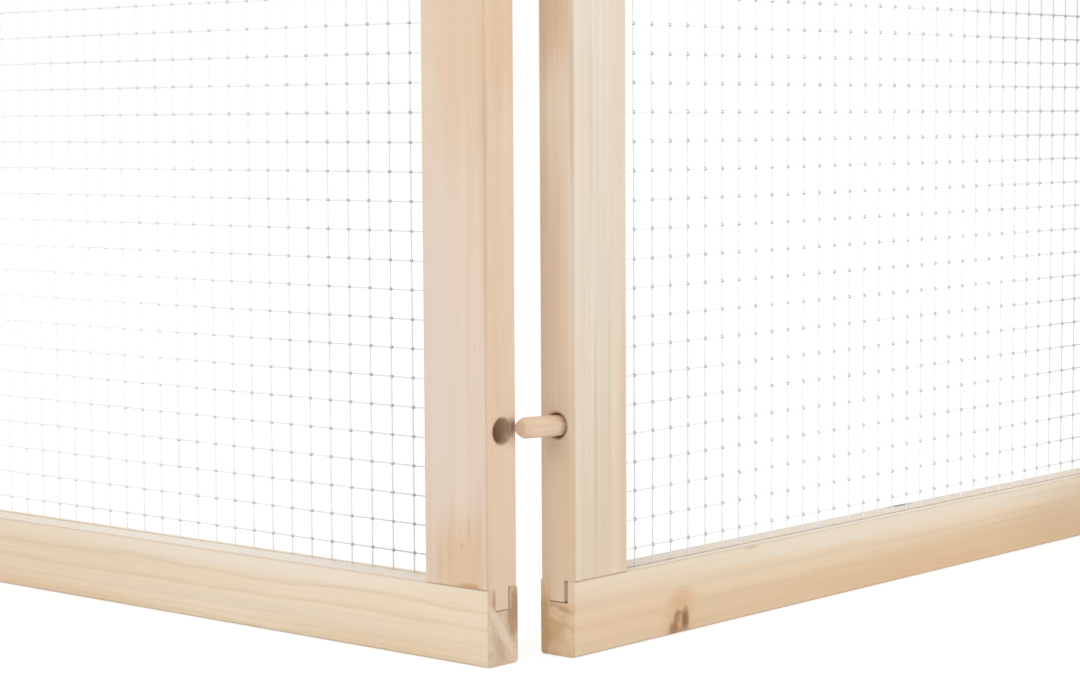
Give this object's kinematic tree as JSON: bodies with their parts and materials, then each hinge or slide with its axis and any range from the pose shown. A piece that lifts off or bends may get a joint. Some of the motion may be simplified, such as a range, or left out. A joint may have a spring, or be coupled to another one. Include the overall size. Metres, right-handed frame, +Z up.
{
  "type": "indoor pet run",
  "caption": "Wooden-framed wire net panels that plug together on dowels in their edges to fence off a run for small pets indoors.",
  "frame": {"origin": "on the floor, in the middle of the run's outline", "axes": "+Z up; the left wing runs along -X from the corner and the right wing along +Y"},
  "size_m": [1.0146, 1.0396, 0.46],
  "materials": {
    "softwood_stile": "planed, bare",
    "softwood_rail": "planed, bare",
    "dowel_wood": "turned, bare",
    "welded_wire": "galvanised"
  },
  "bodies": {
    "left_frame": {"left_bottom_rail": "softwood_rail", "left_top_rail": "softwood_rail", "left_corner_stile": "softwood_stile", "left_joint_stile": "softwood_stile", "left_net": "welded_wire"},
    "left_end_frame": {"left_end_bottom_rail": "softwood_rail", "left_end_top_rail": "softwood_rail", "left_end_joint_stile": "softwood_stile", "left_end_outer_stile": "softwood_stile", "left_end_net": "welded_wire"},
    "right_frame": {"right_bottom_rail": "softwood_rail", "right_top_rail": "softwood_rail", "right_corner_stile": "softwood_stile", "right_joint_stile": "softwood_stile", "right_net": "welded_wire"},
    "right_end_frame": {"right_end_bottom_rail": "softwood_rail", "right_end_top_rail": "softwood_rail", "right_end_joint_stile": "softwood_stile", "right_end_outer_stile": "softwood_stile", "right_end_net": "welded_wire"},
    "corner_dowel_lower": {"corner_dowel_lower": "dowel_wood"},
    "corner_dowel_upper": {"corner_dowel_upper": "dowel_wood"},
    "left_joint_dowel_lower": {"left_joint_dowel_lower": "dowel_wood"},
    "left_joint_dowel_upper": {"left_joint_dowel_upper": "dowel_wood"},
    "right_joint_dowel_lower": {"right_joint_dowel_lower": "dowel_wood"},
    "right_joint_dowel_upper": {"right_joint_dowel_upper": "dowel_wood"}
  },
  "joints": [
    {"name": "left_end_pull_off", "type": "slide", "parent": "left_frame", "child": "left_end_frame", "axis": [-1, 0, 0], "range_m": [0, 0.06]},
    {"name": "right_wing_set_down", "type": "slide", "parent": "left_frame", "child": "right_frame", "axis": [0, 1, 0], "range_m": [-0.02, 0.06]},
    {"name": "right_end_pull_off", "type": "slide", "parent": "right_frame", "child": "right_end_frame", "axis": [0, 1, 0], "range_m": [0, 0.06]},
    {"name": "corner_dowel_lower_slide", "type": "slide", "parent": "right_frame", "child": "corner_dowel_lower", "axis": [0, -1, 0], "range_m": [-0.005, 0.02]},
    {"name": "corner_dowel_upper_slide", "type": "slide", "parent": "right_frame", "child": "corner_dowel_upper", "axis": [0, -1, 0], "range_m": [-0.005, 0.02]},
    {"name": "left_joint_dowel_lower_slide", "type": "slide", "parent": "left_frame", "child": "left_joint_dowel_lower", "axis": [-1, 0, 0], "range_m": [-0.0015, 0.0015]},
    {"name": "left_joint_dowel_upper_slide", "type": "slide", "parent": "left_frame", "child": "left_joint_dowel_upper", "axis": [-1, 0, 0], "range_m": [-0.0015, 0.0015]},
    {"name": "right_joint_dowel_lower_slide", "type": "slide", "parent": "right_frame", "child": "right_joint_dowel_lower", "axis": [0, 1, 0], "range_m": [-0.0015, 0.0015]},
    {"name": "right_joint_dowel_upper_slide", "type": "slide", "parent": "right_frame", "child": "right_joint_dowel_upper", "axis": [0, 1, 0], "range_m": [-0.0015, 0.0015]}
  ]
}
